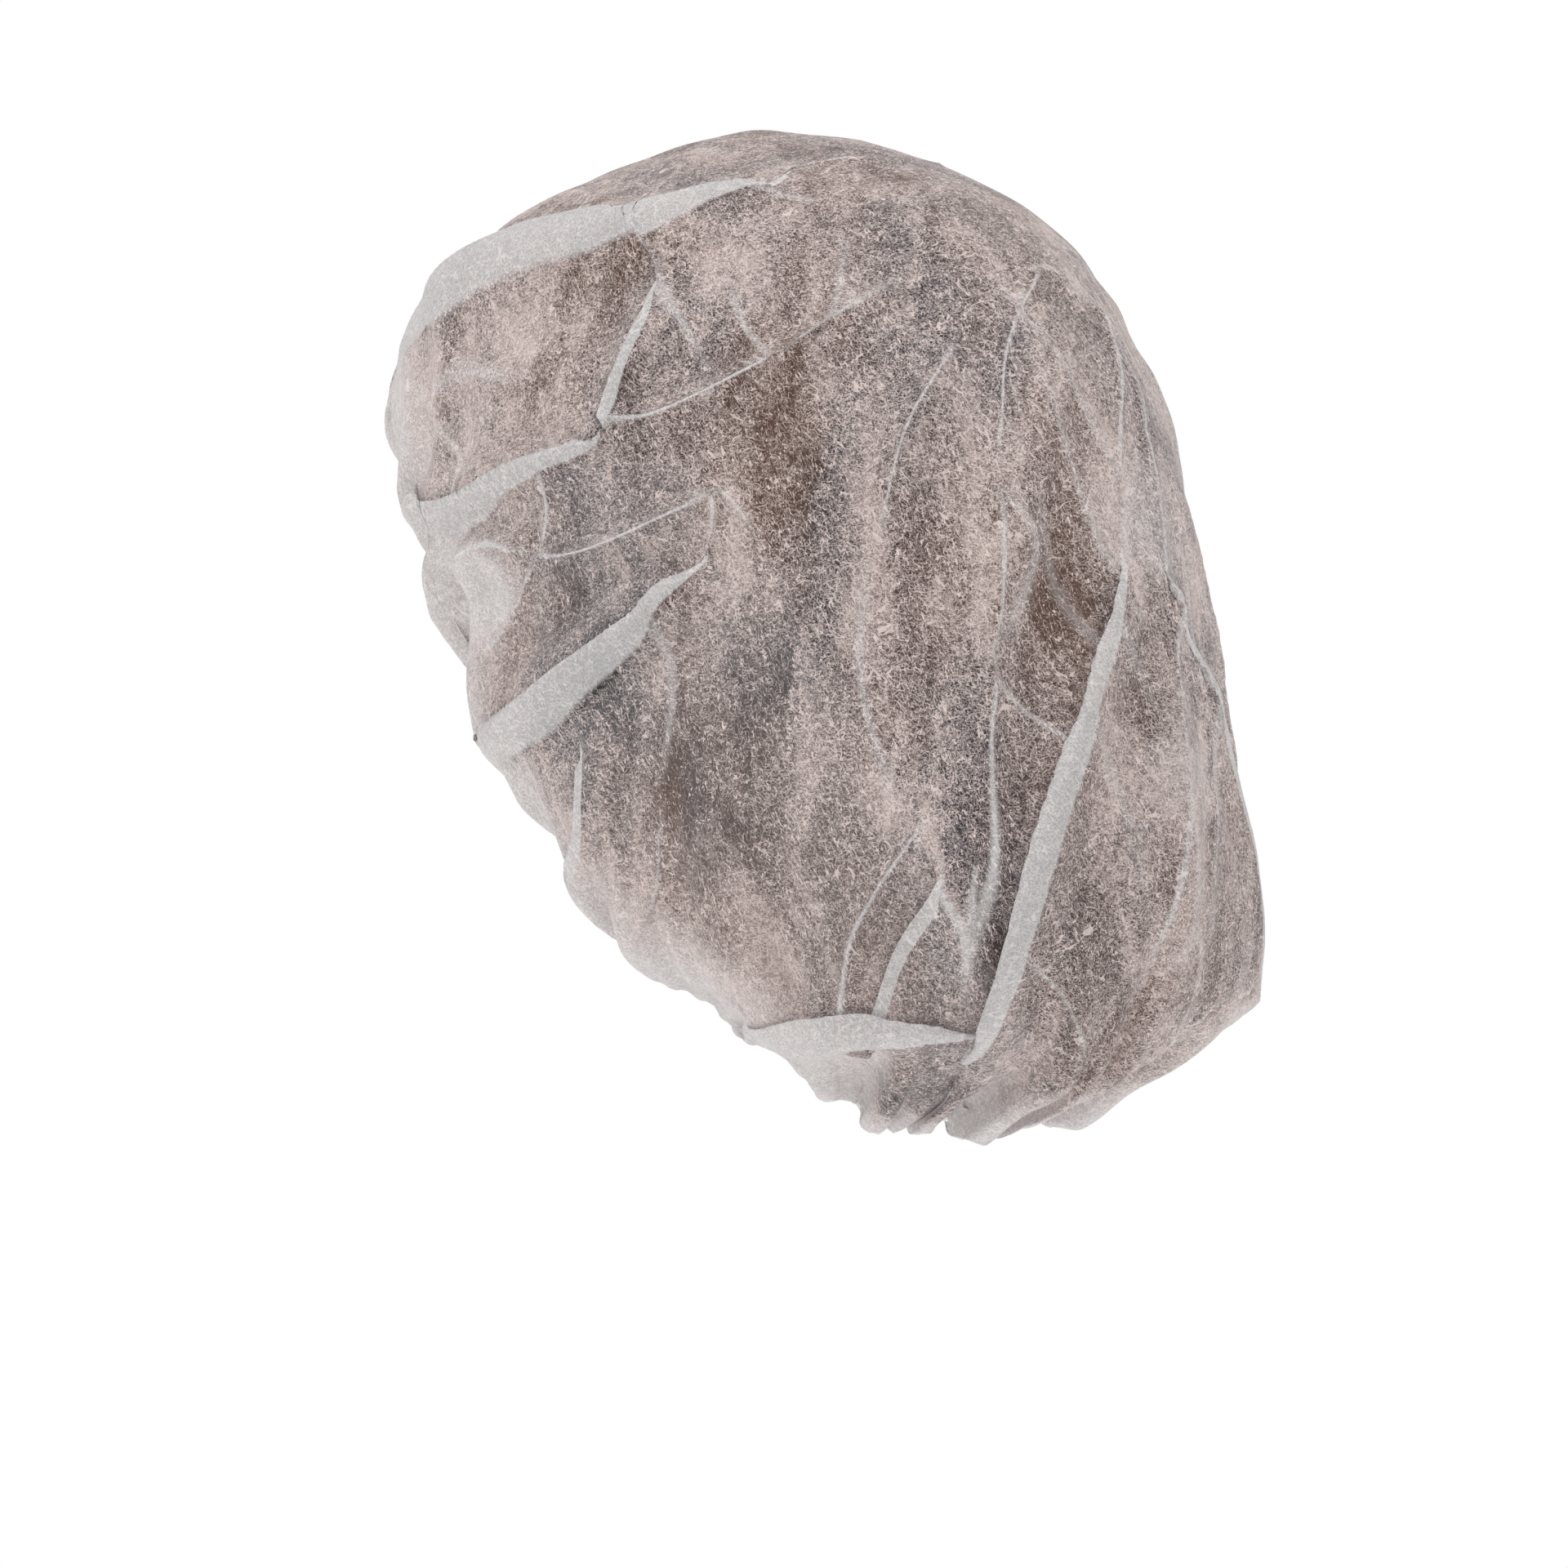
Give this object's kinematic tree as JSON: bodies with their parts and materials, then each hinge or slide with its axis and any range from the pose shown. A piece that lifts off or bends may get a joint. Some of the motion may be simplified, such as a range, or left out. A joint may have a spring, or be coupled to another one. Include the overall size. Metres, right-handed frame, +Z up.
{
  "type": "disposable hair cap",
  "caption": "Gathered bouffant hair cap of thin translucent non-woven sheet, drawn in by an elastic ring in its hem, in the form it has when worn.",
  "frame": {"origin": "the seat on the inside of the crown's top, where the cap bears on the head", "axes": "+Z up; the forehead faces -Y and the nape +Y; +X is the wearer's left"},
  "size_m": [0.192, 0.2352, 0.2481],
  "materials": {
    "white_nonwoven": "thin matt white spunbond fibre sheet, translucent",
    "white_elastic": "matt white covered elastic"
  },
  "bodies": {
    "root": {"crown": "white_nonwoven", "elastic": "white_elastic"}
  },
  "joints": []
}
